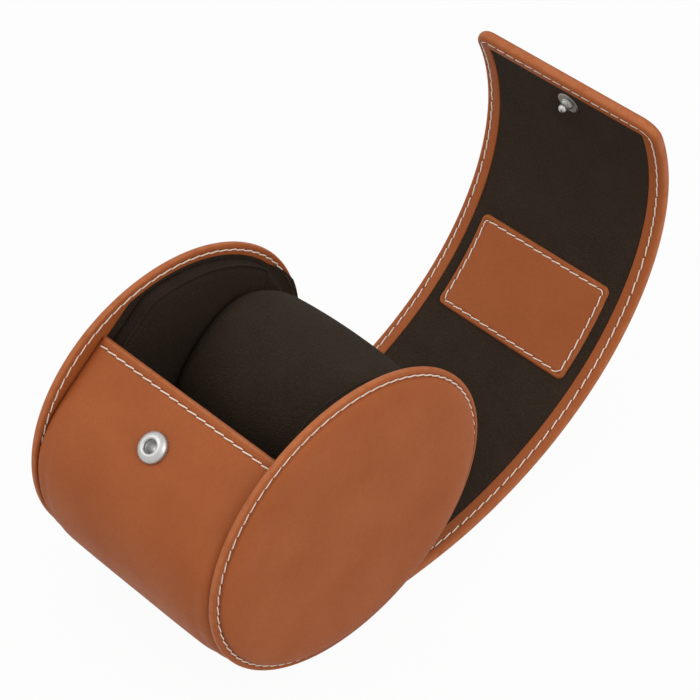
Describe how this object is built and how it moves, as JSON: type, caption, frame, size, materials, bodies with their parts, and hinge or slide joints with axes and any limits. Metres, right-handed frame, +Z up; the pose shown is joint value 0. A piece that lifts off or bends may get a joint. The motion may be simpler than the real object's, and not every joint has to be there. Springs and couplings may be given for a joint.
{
  "type": "watch travel case",
  "caption": "Padded leather roll case for one watch: two oval end discs, a barrel with a watch pillow, and a long wrap-over flap that snaps to the front.",
  "frame": {"origin": "middle of the flat underside, below the centre of the two end discs", "axes": "+X across the case to the wearer's right when the snap faces the viewer, +Y from front to back, +Z up"},
  "size_m": [0.074, 0.1708, 0.1064],
  "materials": {
    "leather": "fine smooth grain, tan",
    "suede": "dark brown microsuede",
    "foam": "grey foam, hidden",
    "board": "fibre board, hidden",
    "nickel": "polished nickel"
  },
  "bodies": {
    "case": {"barrel_leather": "leather", "barrel_padding": "foam", "barrel_board": "board", "barrel_lining": "suede", "front_edge_turn": "leather", "left_disc_cover": "leather", "left_disc_rim_strip": "leather", "left_disc_padding": "foam", "left_disc_board": "board", "left_disc_lining": "suede", "right_disc_cover": "leather", "right_disc_rim_strip": "leather", "right_disc_padding": "foam", "right_disc_board": "board", "right_disc_lining": "suede", "left_side_pad_cover": "suede", "left_side_pad_foam": "foam", "right_side_pad_cover": "suede", "right_side_pad_foam": "foam", "snap_socket_cap": "nickel", "snap_socket_cup": "nickel", "snap_spring": "nickel"},
    "pillow": {"pillow_cover": "suede", "pillow_core": "foam"},
    "flap_1": {"flap_leather_1": "leather", "flap_board_1": "board", "flap_lining_1": "suede"},
    "flap_2": {"flap_leather_2": "leather", "flap_board_2": "board", "flap_lining_2": "suede"},
    "flap_3": {"flap_leather_3": "leather", "flap_board_3": "board", "flap_lining_3": "suede"},
    "flap_4": {"flap_leather_4": "leather", "flap_board_4": "board", "flap_lining_4": "suede"},
    "flap_5": {"flap_leather_5": "leather", "flap_board_5": "board", "flap_lining_5": "suede"},
    "flap_6": {"flap_leather_6": "leather", "flap_board_6": "board", "flap_lining_6": "suede", "label_patch": "leather"},
    "flap_7": {"flap_leather_7": "leather", "flap_board_7": "board", "flap_lining_7": "suede"},
    "flap_8": {"flap_leather_8": "leather", "flap_board_8": "board", "flap_lining_8": "suede"},
    "flap_9": {"flap_leather_9": "leather", "flap_board_9": "board", "flap_lining_9": "suede", "snap_stud": "nickel", "snap_stud_washer": "nickel", "snap_stud_anchor": "nickel"}
  },
  "joints": [
    {"name": "pillow_turn", "type": "hinge", "parent": "case", "child": "pillow", "pos_m": [0, 0.017, 0.0455], "axis": [1, 0, 0], "continuous": true},
    {"name": "flap_fold", "type": "hinge", "parent": "case", "child": "flap_1", "pos_m": [0, 0.012, 0], "axis": [1, 0, 0], "range_deg": [0, 24]},
    {"name": "flap_curl_2", "type": "hinge", "parent": "flap_1", "child": "flap_2", "pos_m": [0, 0.02602, 0], "axis": [1, 0, 0], "range_deg": [0, 11.3]},
    {"name": "flap_curl_3", "type": "hinge", "parent": "flap_2", "child": "flap_3", "pos_m": [0, 0.04002, 0.00055], "axis": [1, 0, 0], "range_deg": [0, 11.9]},
    {"name": "flap_curl_4", "type": "hinge", "parent": "flap_3", "child": "flap_4", "pos_m": [0, 0.0538, 0.00255], "axis": [1, 0, 0], "range_deg": [0, 14.3]},
    {"name": "flap_curl_5", "type": "hinge", "parent": "flap_4", "child": "flap_5", "pos_m": [0, 0.07291, 0.00848], "axis": [1, 0, 0], "range_deg": [0, 18.4]},
    {"name": "flap_curl_6", "type": "hinge", "parent": "flap_5", "child": "flap_6", "pos_m": [0, 0.09369, 0.02035], "axis": [1, 0, 0], "range_deg": [0, 19]},
    {"name": "flap_curl_7", "type": "hinge", "parent": "flap_6", "child": "flap_7", "pos_m": [0, 0.116, 0.04692], "axis": [1, 0, 0], "range_deg": [0, 8.3]},
    {"name": "snap_press", "type": "hinge", "parent": "flap_7", "child": "flap_8", "pos_m": [0, 0.12269, 0.06881], "axis": [1, 0, 0], "range_deg": [0, 7]},
    {"name": "flap_curl_9", "type": "hinge", "parent": "flap_8", "child": "flap_9", "pos_m": [0, 0.12201, 0.08772], "axis": [1, 0, 0], "range_deg": [-5.3, 0]}
  ],
  "couplings": [
    {"joint": "flap_curl_2", "follows": "flap_fold", "ratio": 0.47083},
    {"joint": "flap_curl_3", "follows": "flap_fold", "ratio": 0.49583},
    {"joint": "flap_curl_4", "follows": "flap_fold", "ratio": 0.59583},
    {"joint": "flap_curl_5", "follows": "flap_fold", "ratio": 0.76667},
    {"joint": "flap_curl_6", "follows": "flap_fold", "ratio": 0.79167},
    {"joint": "flap_curl_7", "follows": "flap_fold", "ratio": 0.34583},
    {"joint": "flap_curl_9", "follows": "flap_fold", "ratio": -0.22083}
  ]
}
